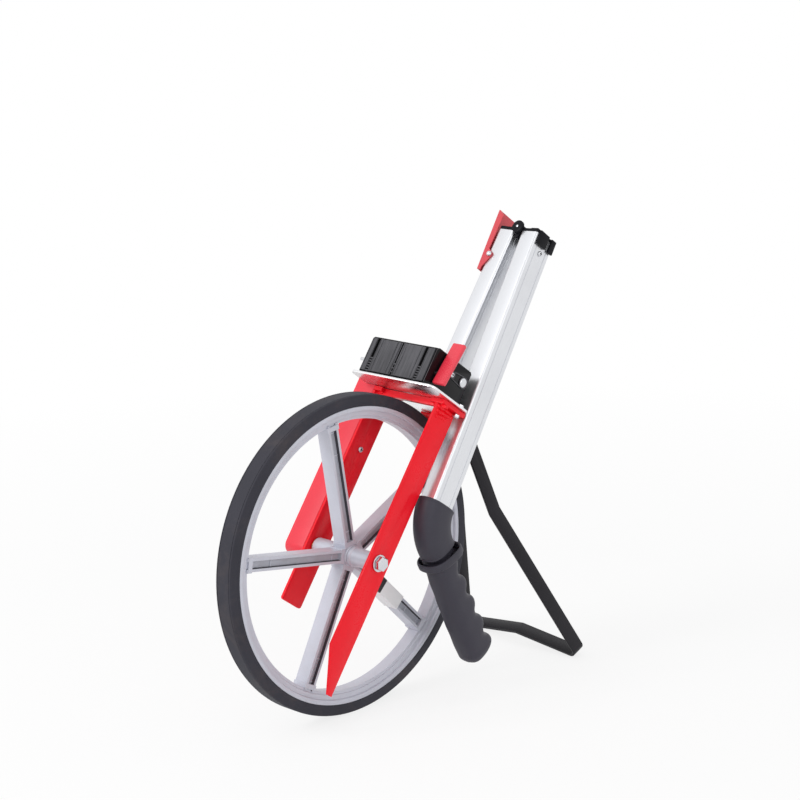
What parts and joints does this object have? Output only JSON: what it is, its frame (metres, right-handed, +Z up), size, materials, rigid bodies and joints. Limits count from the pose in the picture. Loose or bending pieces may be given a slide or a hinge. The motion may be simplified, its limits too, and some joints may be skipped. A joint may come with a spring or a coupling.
{
  "type": "measuring wheel",
  "caption": "Road wheel in a leaning fork with a belt-driven counter on a deck, a handle that folds down beside the fork, and a bail kickstand behind.",
  "frame": {"origin": "on the ground under the axle, at the middle of the tyre's contact", "axes": "+Y along the axle towards the belt side, +X towards the kickstand and the user, +Z up"},
  "size_m": [0.4369, 0.1612, 0.4622],
  "materials": {
    "red_paint": "gloss powder coat",
    "red_plastic": "satin",
    "aluminium": "natural anodised",
    "black_plastic": "fine grain",
    "gloss_black": "gloss",
    "clear": "clear",
    "black_steel": "satin black",
    "grey_plastic": "satin moulded",
    "white_plastic": "satin",
    "tyre": "dusty matte",
    "rubber": "matte",
    "brass": "turned",
    "zinc_steel": "bright zinc"
  },
  "bodies": {
    "frame": {"near_fork_arm": "red_paint", "far_fork_arm": "red_paint", "fork_crown": "red_paint", "deck_plate": "aluminium", "belt_cover": "red_paint", "drive_belt": "rubber", "near_bush": "brass", "far_bush": "brass", "deck_bolt": "zinc_steel", "deck_nut": "zinc_steel", "counter_bolt": "zinc_steel", "lower_cover_screw": "zinc_steel", "upper_cover_screw": "zinc_steel", "counter_case": "black_plastic", "counter_window": "clear", "counter_back": "black_plastic", "counter_side_cover": "gloss_black", "drum_shaft": "zinc_steel", "handle_bracket": "black_plastic", "bracket_bolt": "zinc_steel", "bracket_screw": "zinc_steel", "lower_tube": "aluminium", "lower_hinge_cap": "black_plastic", "hinge_pin": "zinc_steel", "latch_rivet": "zinc_steel", "kickstand_bracket": "red_paint", "kickstand_pin": "zinc_steel"},
    "wheel": {"tyre": "tyre", "wheel_rim": "grey_plastic", "spoke_sleeve": "white_plastic", "near_spacer": "grey_plastic", "far_spacer": "grey_plastic", "axle_bolt": "zinc_steel", "axle_washer": "zinc_steel", "axle_nut": "zinc_steel", "axle_pulley": "black_plastic"},
    "counter_input": {"counter_pulley": "black_plastic", "input_shaft": "zinc_steel", "number_drum_1": "white_plastic"},
    "drum_2": {"number_drum_2": "white_plastic"},
    "drum_3": {"number_drum_3": "white_plastic"},
    "drum_4": {"number_drum_4": "white_plastic"},
    "drum_5": {"number_drum_5": "white_plastic"},
    "reset": {"reset_lever": "red_plastic", "reset_shaft": "zinc_steel"},
    "upper_handle": {"upper_tube": "aluminium", "upper_hinge_cap": "black_plastic", "catch_screw": "zinc_steel", "elbow": "black_plastic", "grip": "black_plastic"},
    "latch": {"latch_lever": "red_paint"},
    "stand": {"kickstand": "black_steel"}
  },
  "joints": [
    {"name": "wheel_spin", "type": "hinge", "parent": "frame", "child": "wheel", "pos_m": [0, 0, 0.15915], "axis": [0, 1, 0], "continuous": true},
    {"name": "counter_input_spin", "type": "hinge", "parent": "frame", "child": "counter_input", "pos_m": [0.11728, 0, 0.31501], "axis": [0, 1, 0], "continuous": true},
    {"name": "drum_2_spin", "type": "hinge", "parent": "frame", "child": "drum_2", "pos_m": [0.11728, 0, 0.31501], "axis": [0, 1, 0], "continuous": true},
    {"name": "drum_3_spin", "type": "hinge", "parent": "frame", "child": "drum_3", "pos_m": [0.11728, 0, 0.31501], "axis": [0, 1, 0], "continuous": true},
    {"name": "drum_4_spin", "type": "hinge", "parent": "frame", "child": "drum_4", "pos_m": [0.11728, 0, 0.31501], "axis": [0, 1, 0], "continuous": true},
    {"name": "drum_5_spin", "type": "hinge", "parent": "frame", "child": "drum_5", "pos_m": [0.11728, 0, 0.31501], "axis": [0, 1, 0], "continuous": true},
    {"name": "reset_turn", "type": "hinge", "parent": "frame", "child": "reset", "pos_m": [0.0887, 0, 0.33026], "axis": [0, -1, 0], "range_deg": [0, 30], "stiffness_Nm_per_rad": 0.1},
    {"name": "handle_fold", "type": "hinge", "parent": "frame", "child": "upper_handle", "pos_m": [0.22731, -0.0151, 0.46124], "axis": [-0.7991, 0, 0.6013], "range_deg": [0, 176.47]},
    {"name": "latch_turn", "type": "hinge", "parent": "frame", "child": "latch", "pos_m": [0.20699, 0.00675, 0.43423], "axis": [-0.7991, 0, 0.6013], "range_deg": [0, 8], "stiffness_Nm_per_rad": 0.5},
    {"name": "stand_fold", "type": "hinge", "parent": "frame", "child": "stand", "pos_m": [0.14681, 0, 0.25713], "axis": [0, -1, 0], "range_deg": [0, 116]}
  ],
  "couplings": [
    {"joint": "counter_input_spin", "follows": "wheel_spin", "ratio": 1},
    {"joint": "drum_2_spin", "follows": "wheel_spin", "ratio": 0.1},
    {"joint": "drum_3_spin", "follows": "wheel_spin", "ratio": 0.01},
    {"joint": "drum_4_spin", "follows": "wheel_spin", "ratio": 0.001},
    {"joint": "drum_5_spin", "follows": "wheel_spin", "ratio": 0.0001}
  ]
}
